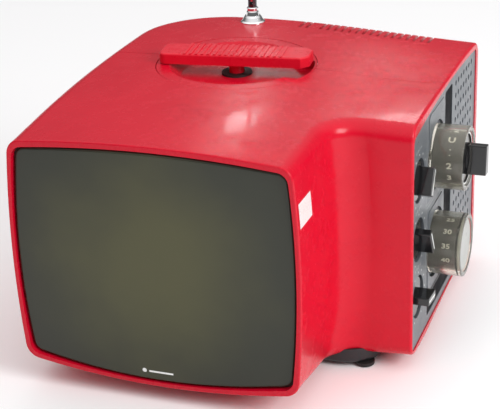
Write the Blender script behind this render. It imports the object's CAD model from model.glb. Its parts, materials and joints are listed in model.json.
import json
import math

import bpy
from mathutils import Matrix, Vector


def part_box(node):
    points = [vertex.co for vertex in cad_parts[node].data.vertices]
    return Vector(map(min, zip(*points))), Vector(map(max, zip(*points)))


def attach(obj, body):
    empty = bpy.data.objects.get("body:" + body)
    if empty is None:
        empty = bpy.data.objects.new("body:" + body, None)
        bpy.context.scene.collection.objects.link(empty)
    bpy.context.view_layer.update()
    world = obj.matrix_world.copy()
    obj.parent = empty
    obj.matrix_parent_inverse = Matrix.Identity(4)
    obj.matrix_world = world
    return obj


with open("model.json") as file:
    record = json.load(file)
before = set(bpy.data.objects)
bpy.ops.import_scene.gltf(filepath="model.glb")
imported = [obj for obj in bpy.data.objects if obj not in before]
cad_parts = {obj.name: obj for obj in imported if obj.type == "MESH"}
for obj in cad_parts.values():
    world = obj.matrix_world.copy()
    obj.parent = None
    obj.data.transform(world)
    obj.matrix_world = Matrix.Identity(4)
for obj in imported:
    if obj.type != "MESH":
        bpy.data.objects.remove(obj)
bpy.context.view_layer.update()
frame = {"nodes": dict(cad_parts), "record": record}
nodes = frame["nodes"]
MM = 0.001

# ------------------------------------------------------------------ places, read from the frame
window_low, window_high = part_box("screen_window")
cabinet_low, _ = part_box("front_cabinet")
feet_low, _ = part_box("feet")
vhf_low, vhf_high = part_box("vhf_fine_tuning_sleeve")
uhf_low, uhf_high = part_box("uhf_tuning_sleeve")
vhf_drum_low, vhf_drum_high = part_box("vhf_channel_drum")
_, uhf_drum_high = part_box("uhf_dial_drum")

# The middle of the screen opening, in the plane of the bezel: the cabinet's own origin.
SCREEN_HEIGHT = 106 * MM
origin = Vector(((window_low.x + window_high.x) / 2, cabinet_low.y, feet_low.z + SCREEN_HEIGHT))
vhf_centre = (vhf_low + vhf_high) / 2
uhf_centre = (uhf_low + uhf_high) / 2


def at(x, y, z):
    """A place given in millimetres from the middle of the screen opening."""
    return origin + Vector((x, y, z)) * MM


# ------------------------------------------------------------------ material tools
def new_material(name):
    material = bpy.data.materials.new(name)
    material.use_nodes = True
    tree = material.node_tree
    shader = tree.nodes["Principled BSDF"]
    return material, tree, shader


def set_shader(shader, **values):
    names = {
        "colour": "Base Color",
        "rough": "Roughness",
        "metal": "Metallic",
        "coat": "Coat Weight",
        "coat_rough": "Coat Roughness",
        "ior": "IOR",
        "specular": "Specular IOR Level",
        "transmission": "Transmission Weight",
    }
    for key, value in values.items():
        shader.inputs[names[key]].default_value = (*value, 1.0) if key == "colour" else value


def noise(tree, scale, detail=4.0, rough=0.55, stretch=None):
    coordinates = tree.nodes.new("ShaderNodeTexCoord")
    texture = tree.nodes.new("ShaderNodeTexNoise")
    texture.inputs["Scale"].default_value = scale
    texture.inputs["Detail"].default_value = detail
    texture.inputs["Roughness"].default_value = rough
    if stretch is None:
        tree.links.new(coordinates.outputs["Object"], texture.inputs["Vector"])
    else:
        mapping = tree.nodes.new("ShaderNodeMapping")
        mapping.inputs["Scale"].default_value = stretch
        tree.links.new(coordinates.outputs["Object"], mapping.inputs["Vector"])
        tree.links.new(mapping.outputs["Vector"], texture.inputs["Vector"])
    return texture.outputs["Fac"]


def ramp(tree, source, stops, smooth=False):
    """stops are (position, grey or colour)."""
    node = tree.nodes.new("ShaderNodeValToRGB")
    band = node.color_ramp
    if smooth:
        band.interpolation = "EASE"
    while len(band.elements) < len(stops):
        band.elements.new(0.5)
    for element, (position, colour) in zip(band.elements, stops):
        element.position = position
        element.color = (colour, colour, colour, 1) if isinstance(colour, float) else (*colour, 1)
    tree.links.new(source, node.inputs["Fac"])
    return node.outputs["Color"]


def bump(tree, shader, height, strength, distance, previous=None):
    node = tree.nodes.new("ShaderNodeBump")
    node.inputs["Strength"].default_value = strength
    node.inputs["Distance"].default_value = distance
    tree.links.new(height, node.inputs["Height"])
    if previous is not None:
        tree.links.new(previous, node.inputs["Normal"])
    tree.links.new(node.outputs["Normal"], shader.inputs["Normal"])
    return node.outputs["Normal"]


def moulded(name, colour, rough=0.25, vary=0.08, grain=0.0, coat=0.0, scratch=0.0, shine=0.5):
    """Moulded plastic: a slightly uneven colour and gloss, a skin texture, and fine wear marks."""
    material, tree, shader = new_material(name)
    set_shader(shader, rough=rough, coat=coat, coat_rough=0.06, specular=shine)
    dark = tuple(c * (1 - vary) for c in colour)
    light = tuple(min(1.0, c * (1 + vary)) for c in colour)
    broad = noise(tree, 9.0, 3.0)
    tree.links.new(ramp(tree, broad, [(0.3, dark), (0.7, light)], True), shader.inputs["Base Color"])
    gloss = noise(tree, 60.0, 6.0, 0.7)
    roughness = ramp(tree, gloss, [(0.35, rough * 0.75), (0.75, rough * 1.35)])
    tree.links.new(roughness, shader.inputs["Roughness"])
    if grain:
        skin = bump(tree, shader, noise(tree, 1400.0, 2.0), grain, 0.0003)
    else:
        skin = bump(tree, shader, noise(tree, 38.0, 1.0), 0.10, 0.0004)
    if scratch:
        marks = noise(tree, 55.0, 3.0, 0.5, (1.0, 14.0, 14.0))
        line = ramp(tree, marks, [(0.60, 0.0), (0.66, 1.0)])
        bump(tree, shader, line, scratch, 0.0001, skin)
    return material


def metal(name, colour, rough=0.15, brushed=None):
    material, tree, shader = new_material(name)
    set_shader(shader, colour=colour, rough=rough, metal=1.0)
    texture = noise(tree, 260.0, 4.0, 0.6, brushed)
    tree.links.new(ramp(tree, texture, [(0.3, rough * 0.7), (0.7, rough * 1.5)]), shader.inputs["Roughness"])
    bump(tree, shader, texture, 0.08, 0.0001)
    return material


def clear_plastic(name, colour, rough, through):
    """Clear plastic: nearly all of what falls on it goes through, slightly tinted."""
    material, tree, shader = new_material(name)
    set_shader(shader, colour=colour, rough=rough, ior=1.35, transmission=through)
    haze = noise(tree, 45.0, 3.0)
    roughness = ramp(tree, haze, [(0.3, rough * 0.6), (0.75, rough * 1.6 + 0.01)])
    tree.links.new(roughness, shader.inputs["Roughness"])
    bump(tree, shader, noise(tree, 30.0, 1.0), 0.05, 0.0003)
    return material


def smoked_window(name, middle, edge, centre, reach):
    """The screen window: smoked acrylic over the tube, olive in its middle and darker to its edges."""
    material, tree, shader = new_material(name)
    set_shader(shader, rough=0.08, ior=1.49, specular=0.32)
    coordinates = tree.nodes.new("ShaderNodeTexCoord")
    offset = tree.nodes.new("ShaderNodeVectorMath")
    offset.operation = "SUBTRACT"
    offset.inputs[1].default_value = centre
    length = tree.nodes.new("ShaderNodeVectorMath")
    length.operation = "LENGTH"
    spread = tree.nodes.new("ShaderNodeMath")
    spread.operation = "DIVIDE"
    spread.inputs[1].default_value = reach
    tree.links.new(coordinates.outputs["Object"], offset.inputs[0])
    tree.links.new(offset.outputs["Vector"], length.inputs[0])
    tree.links.new(length.outputs["Value"], spread.inputs[0])
    cloud = noise(tree, 16.0, 3.0, 0.5)
    shift = tree.nodes.new("ShaderNodeMath")
    shift.operation = "MULTIPLY_ADD"
    shift.inputs[1].default_value = 0.45
    tree.links.new(cloud, shift.inputs[0])
    tree.links.new(spread.outputs["Value"], shift.inputs[2])
    tint = ramp(tree, shift.outputs["Value"], [(0.30, middle), (1.0, edge)], True)
    tree.links.new(tint, shader.inputs["Base Color"])
    smear = noise(tree, 26.0, 5.0, 0.65)
    tree.links.new(ramp(tree, smear, [(0.35, 0.06), (0.8, 0.14)]), shader.inputs["Roughness"])
    return material


def ink(name, colour, rough=0.5):
    material, tree, shader = new_material(name)
    set_shader(shader, rough=rough)
    worn = noise(tree, 900.0, 3.0)
    faded = tuple(c * 0.8 for c in colour)
    tree.links.new(ramp(tree, worn, [(0.35, faded), (0.55, colour)]), shader.inputs["Base Color"])
    return material


# ------------------------------------------------------------------ materials
RED = (0.60, 0.003, 0.021)

red = moulded("red shell", RED, 0.26, 0.05, coat=0.10, scratch=0.12, shine=0.24)
red_handle = moulded("red handle", (0.72, 0.006, 0.026), 0.3, 0.05, coat=0.1, scratch=0.2, shine=0.3)
black_gloss = moulded("black gloss", (0.012, 0.012, 0.013), 0.16, 0.1, coat=0.3)
black_satin = moulded("black satin", (0.016, 0.016, 0.018), 0.42, 0.1, grain=0.25)
rubber = moulded("black rubber", (0.012, 0.012, 0.012), 0.6, 0.1, grain=0.3)
panel_grey = moulded("panel grey", (0.118, 0.130, 0.145), 0.36, 0.08, grain=0.3)
window_tint = smoked_window(
    "tinted window", (0.084, 0.081, 0.038), (0.036, 0.038, 0.028), (window_low + window_high) / 2, 150 * MM
)
clear = clear_plastic("clear acrylic", (0.93, 0.905, 0.80), 0.05, 0.93)
drum_smoke = moulded("smoky drum", (0.024, 0.023, 0.022), 0.4, 0.1, shine=0.2)
cap_grey = moulded("cap grey", (0.42, 0.43, 0.41), 0.34, 0.05, grain=0.1)
chrome = metal("chrome", (0.82, 0.82, 0.83), 0.06)
dark_chrome = metal("dark chrome", (0.10, 0.10, 0.11), 0.2)
steel = metal("steel", (0.55, 0.55, 0.54), 0.3, (1.0, 20.0, 1.0))
tinned = metal("tinned steel", (0.60, 0.60, 0.57), 0.38)
brass = metal("brass", (0.72, 0.52, 0.22), 0.25)
copper = metal("copper winding", (0.60, 0.24, 0.10), 0.35, (60.0, 1.0, 60.0))
aluminium = metal("aluminium", (0.72, 0.73, 0.74), 0.35)
ferrite = moulded("ferrite", (0.05, 0.05, 0.055), 0.55, 0.1, grain=0.3)
nylon = moulded("nylon", (0.75, 0.72, 0.62), 0.45, 0.05)
board = moulded("phenolic board", (0.30, 0.16, 0.06), 0.5, 0.12, grain=0.2)
paper = moulded("paper cone", (0.05, 0.045, 0.04), 0.85, 0.2, grain=0.6)
sleeve_blue = moulded("capacitor sleeve", (0.02, 0.05, 0.16), 0.35, 0.1)
tube_glass = moulded("tube glass", (0.17, 0.18, 0.15), 0.08, 0.03, coat=0.5)
inlay_black = moulded("inlay black", (0.010, 0.010, 0.012), 0.75, 0.1, grain=0.2, shine=0.08)
white_ink = ink("white print", (0.92, 0.92, 0.90))
sticker_white = ink("sticker white", (0.80, 0.76, 0.75), 0.35)
panel_line = ink("panel line", (0.42, 0.43, 0.44), 0.4)

by_slot = {
    "red_shell": red,
    "red_post": red_handle,
    "handle_red": red_handle,
    "black_plastic": black_satin,
    "rubber": rubber,
    "screw_steel": steel,
    "window_tint": window_tint,
    "tube_glass": tube_glass,
    "steel": steel,
    "copper": copper,
    "ferrite": ferrite,
    "board": board,
    "core_steel": black_satin,
    "capacitor_sleeve": sleeve_blue,
    "aluminium": aluminium,
    "tinned_steel": tinned,
    "shaft_steel": steel,
    "brass": brass,
    "gear_nylon": nylon,
    "clear_sleeve": clear,
    "drum_black": drum_smoke,
    "knob_black": black_gloss,
    "cap_grey": cap_grey,
    "panel_grey": panel_grey,
    "paper_cone": paper,
    "chrome": chrome,
    "dark_chrome": dark_chrome,
}
for part in frame["record"]["subparts"]:
    node = nodes[part["node"]]
    node.data.materials.clear()
    node.data.materials.append(by_slot[part["material_slot"]])
nodes["trim_inlay"].data.materials[0] = inlay_black


# ------------------------------------------------------------------ small printed and moulded pieces
def add_mesh(name, vertices, faces, material, body):
    mesh = bpy.data.meshes.new(name)
    mesh.from_pydata([tuple(v) for v in vertices], [], faces)
    mesh.update()
    piece = bpy.data.objects.new(name, mesh)
    bpy.context.scene.collection.objects.link(piece)
    mesh.materials.append(material)
    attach(piece, body)
    return piece


def text_mesh(body_text, height):
    """Flat lettering as vertices and faces in its own plane, centred, of the given height in metres."""
    curve = bpy.data.curves.new("lettering", "FONT")
    curve.body = body_text
    curve.align_x = "CENTER"
    curve.align_y = "CENTER"
    curve.resolution_u = 3
    curve.offset = 0.03
    holder = bpy.data.objects.new("lettering", curve)
    bpy.context.scene.collection.objects.link(holder)
    bpy.context.view_layer.update()
    mesh = bpy.data.meshes.new_from_object(holder.evaluated_get(bpy.context.evaluated_depsgraph_get()))
    xs = [v.co.x for v in mesh.vertices]
    ys = [v.co.y for v in mesh.vertices]
    scale = height / (max(ys) - min(ys))
    mid_x, mid_y = (max(xs) + min(xs)) / 2, (max(ys) + min(ys)) / 2
    points = [((v.co.x - mid_x) * scale, (v.co.y - mid_y) * scale) for v in mesh.vertices]
    faces = [tuple(p.vertices) for p in mesh.polygons]
    bpy.data.objects.remove(holder)
    bpy.data.curves.remove(curve)
    bpy.data.meshes.remove(mesh)
    return points, faces


PRINT = 0.06 * MM  # printed scales stand this far off a drum
LETTER_WIDEN = 1.35
MARK_LIFT = 0.08  # printed marks stand this far off a flat face, mm
VHF_FIRST, VHF_STEP, VHF_LETTER = 57, 27.6, 4.6  # degrees above level, degrees apart, height in mm
UHF_FIRST, UHF_STEP, UHF_LETTER = 110, 31.0, 3.8


def drum_radius(low, high):
    return (high.z - low.z) / 2


def drum_print(name, words, first, step, height, centre, mid_x, radius, body):
    """A scale on a drum: each word stands upright on the front side, one below the other."""
    vertices, faces = [], []
    for index, word in enumerate(words):
        points, polygons = text_mesh(word, height)
        middle = math.radians(first - step * index)
        base = len(vertices)
        for u, v in points:
            angle = middle + v / radius
            y = centre.y - radius * math.cos(angle)
            z = centre.z + radius * math.sin(angle)
            vertices.append(Vector((mid_x + u * LETTER_WIDEN, y, z)))
        faces.extend(tuple(base + i for i in polygon) for polygon in polygons)
    return add_mesh(name, vertices, faces, white_ink, body)


vhf_words = ["U"] + [str(n) for n in range(1, 13)]
drum_print(
    "vhf_scale", vhf_words, VHF_FIRST, VHF_STEP, VHF_LETTER * MM, vhf_centre,
    vhf_drum_low.x + 13.0 * MM, drum_radius(vhf_drum_low, vhf_drum_high) + PRINT, "vhf_selector",
)
uhf_words = ["20", "25", "30", "35", "40", "45", "50", "55", "60", "65", "70"]
UHF_DRUM_R = 20.1 * MM
drum_print(
    "uhf_scale", uhf_words, UHF_FIRST, UHF_STEP, UHF_LETTER * MM, uhf_centre,
    uhf_drum_high.x - 7.0 * MM, UHF_DRUM_R + PRINT, "uhf_dial",
)


def flat_on_panel(name, outlines, depth, material, body):
    """Thin printed shapes on the side panel: each outline is a list of (y, z) in millimetres."""
    vertices, faces = [], []
    for outline in outlines:
        base = len(vertices)
        vertices.extend(at(depth + MARK_LIFT, y, z) for y, z in outline)
        faces.append(tuple(range(base, base + len(outline))))
    return add_mesh(name, vertices, faces, material, body)


def dot(y, z, radius, sides=16):
    turns = [2 * math.pi * index / sides for index in range(sides)]
    return [(y + radius * math.cos(turn), z + radius * math.sin(turn)) for turn in turns]


def stroke(y0, z0, y1, z1, width):
    """A straight printed line between two places."""
    length = math.hypot(y1 - y0, z1 - z0)
    ny, nz = -(z1 - z0) / length * width / 2, (y1 - y0) / length * width / 2
    return [(y0 + ny, z0 + nz), (y1 + ny, z1 + nz), (y1 - ny, z1 - nz), (y0 - ny, z0 - nz)]


PANEL_X = 164.2
POT_Y = 112.0
KNOBS = {"contrast": (42.0, -28.0), "brightness": (-4.5, 30.0), "volume": (-51.0, 84.0)}
GRIP_END = 175.0
DOT_RING = 20.0
GRIP_LINE = 9.3  # from the knob's axis to each end of its line
WORD_MARKS = ((-9, 22.6, 4.2), (-4.6, 23.4, 3.2), (0.2, 22.8, 4.4), (4.6, 23.6, 2.8))

for knob_name, (knob_z, knob_turn) in KNOBS.items():
    marks = []
    for index in range(11):
        turn = math.radians(-150 + 30 * index)
        marks.append(dot(POT_Y - DOT_RING * math.sin(turn), knob_z + DOT_RING * math.cos(turn), 0.75))
    for dy, dz, length in WORD_MARKS:
        marks.append(stroke(POT_Y + dy, knob_z + dz, POT_Y + dy + 1.2, knob_z + dz + length * 0.55, 0.55))
    flat_on_panel(f"{knob_name}_marks", marks, PANEL_X, white_ink, "cabinet")

    turn = math.radians(knob_turn)
    line = stroke(
        POT_Y + GRIP_LINE * math.sin(turn), knob_z - GRIP_LINE * math.cos(turn),
        POT_Y - GRIP_LINE * math.sin(turn), knob_z + GRIP_LINE * math.cos(turn), 1.5,
    )
    flat_on_panel(f"{knob_name}_line", [line], GRIP_END, white_ink, f"{knob_name}_control")


borders = []
for low_z, high_z in ((15.5, 81.0), (-60.0, 4.4)):
    borders.append(stroke(139.2, low_z + 5, 139.2, high_z - 5, 0.6))
    borders.append(stroke(145.0, low_z - 0.8, 186.0, low_z - 0.8, 0.6))
    borders.append(stroke(145.0, high_z + 0.8, 186.0, high_z + 0.8, 0.6))
borders.append(stroke(134.6, 84.0, 134.6, 12.0, 0.6))
borders.append(stroke(134.6, 8.0, 134.6, -58.0, 0.6))
for low_z in (9.8, 12.2, -66.0, -63.6):
    borders.append(stroke(136.0, low_z, 190.0, low_z, 0.55))
flat_on_panel("panel_lines", borders, PANEL_X, panel_line, "cabinet")


def ring_mesh(name, x, centre, outer, inner, material, body, sides=64):
    """A flat ring that faces outward on a drum's end."""
    vertices, faces = [], []
    for index in range(sides):
        turn = 2 * math.pi * index / sides
        for radius in (outer, inner):
            y = centre.y + radius * math.cos(turn)
            z = centre.z + radius * math.sin(turn)
            vertices.append(Vector((x, y, z)))
    for index in range(sides):
        nxt = (index + 1) % sides
        faces.append((2 * index, 2 * nxt, 2 * nxt + 1, 2 * index + 1))
    return add_mesh(name, vertices, faces, material, body)


ring_mesh(
    "vhf_end_ring", vhf_drum_high.x + 0.06 * MM, vhf_centre, 19.8 * MM, 18.6 * MM,
    white_ink, "vhf_selector",
)


def sticker():
    """A blank paper label on the right wall of the box, following its bow."""
    bow_radius = 834.9
    columns, rows = 6, 8
    vertices, faces = [], []
    for row in range(rows + 1):
        z = 43.2 + 18.0 * row / rows
        x = 110.4 - (bow_radius - math.sqrt(bow_radius**2 - z**2)) + 0.12
        for column in range(columns + 1):
            vertices.append(at(x, 4.5 + 26.0 * column / columns, z))
    for row in range(rows):
        for column in range(columns):
            first = row * (columns + 1) + column
            faces.append((first, first + 1, first + columns + 2, first + columns + 1))
    return add_mesh("blank_label", vertices, faces, sticker_white, "cabinet")


sticker()


def window_mark():
    """A plain pale mark low on the screen window: a dot and a bar, with no lettering."""
    y = (window_low.y - origin.y) / MM
    vertices, faces = [], []
    shapes = [dot(-11.0, -80.6, 1.7, 20), stroke(-7.4, -80.9, 11.5, -80.9, 1.5)]
    dome_r = 1800.0
    for shape in shapes:
        base = len(vertices)
        for x, z in shape:
            bow = (x**2 + z**2) / (2 * dome_r)
            vertices.append(at(x, y + bow - 0.1, z))
        faces.append(tuple(range(base, base + len(shape))))
    return add_mesh("window_mark", vertices, faces, white_ink, "cabinet")


window_mark()


# ------------------------------------------------------------------ floor, light and camera
SKY = 1.32
CAMERA_PLACE = (390.4, -831.2, 436.6)
CAMERA_TURNS = (20.737, 22.98, -2.182)  # yaw, pitch and roll in degrees


def add_floor():
    size = 6.0
    mesh = bpy.data.meshes.new("floor")
    corners = [(-size, -size, 0), (size, -size, 0), (size, size, 0), (-size, size, 0)]
    mesh.from_pydata(corners, [], [(0, 1, 2, 3)])
    floor = bpy.data.objects.new("floor", mesh)
    bpy.context.scene.collection.objects.link(floor)
    material, _tree, shader = new_material("pale floor")
    set_shader(shader, colour=(0.97, 0.965, 0.97), rough=0.6, specular=0.15)
    mesh.materials.append(material)


def add_light(name, place, target, size, power):
    data = bpy.data.lights.new(name, "AREA")
    data.energy = power
    data.size = size
    light = bpy.data.objects.new(name, data)
    light.location = place
    light.rotation_euler = (Vector(target) - Vector(place)).to_track_quat("-Z", "Y").to_euler()
    bpy.context.scene.collection.objects.link(light)


def add_world():
    """Soft light from above, dark low down, so that grazing reflections stay clean."""
    world = bpy.data.worlds.new("studio")
    world.use_nodes = True
    tree = world.node_tree
    background = tree.nodes["Background"]
    coordinates = tree.nodes.new("ShaderNodeTexCoord")
    split = tree.nodes.new("ShaderNodeSeparateXYZ")
    tree.links.new(coordinates.outputs["Generated"], split.inputs["Vector"])
    sky = ramp(tree, split.outputs["Z"], [(0.0, 0.10), (0.34, 0.13), (0.6, 0.62), (0.9, 1.0)])
    tree.links.new(sky, background.inputs["Color"])
    background.inputs["Strength"].default_value = SKY
    bpy.context.scene.world = world


def add_camera():
    """A long lens, above and to the right of the screen."""
    yaw, pitch, roll = (math.radians(turn) for turn in CAMERA_TURNS)
    back = Vector((math.sin(yaw) * math.cos(pitch), -math.cos(yaw) * math.cos(pitch), math.sin(pitch)))
    right = (-back).cross(Vector((0, 0, 1))).normalized()
    up = right.cross(-back)
    turned_right = right * math.cos(roll) + up * math.sin(roll)
    turned_up = up * math.cos(roll) - right * math.sin(roll)
    data = bpy.data.cameras.new("camera")
    data.sensor_width = 36.0
    data.lens = 104.0
    camera = bpy.data.objects.new("camera", data)
    turn = Matrix((turned_right, turned_up, back)).transposed().to_4x4()
    camera.matrix_world = Matrix.Translation(at(*CAMERA_PLACE)) @ turn
    bpy.context.scene.collection.objects.link(camera)
    bpy.context.scene.camera = camera


add_floor()
add_world()
add_light("key", at(1380, -380, 800), at(60, 100, 0), 0.7, 17.0)
add_light("ceiling left", at(-760, 2350, 1180), at(0, 150, 90), 0.10, 0.55)
add_light("ceiling right", at(-420, 2550, 1260), at(100, 150, 90), 0.10, 0.55)
add_camera()
bpy.context.scene.view_settings.view_transform = "Standard"
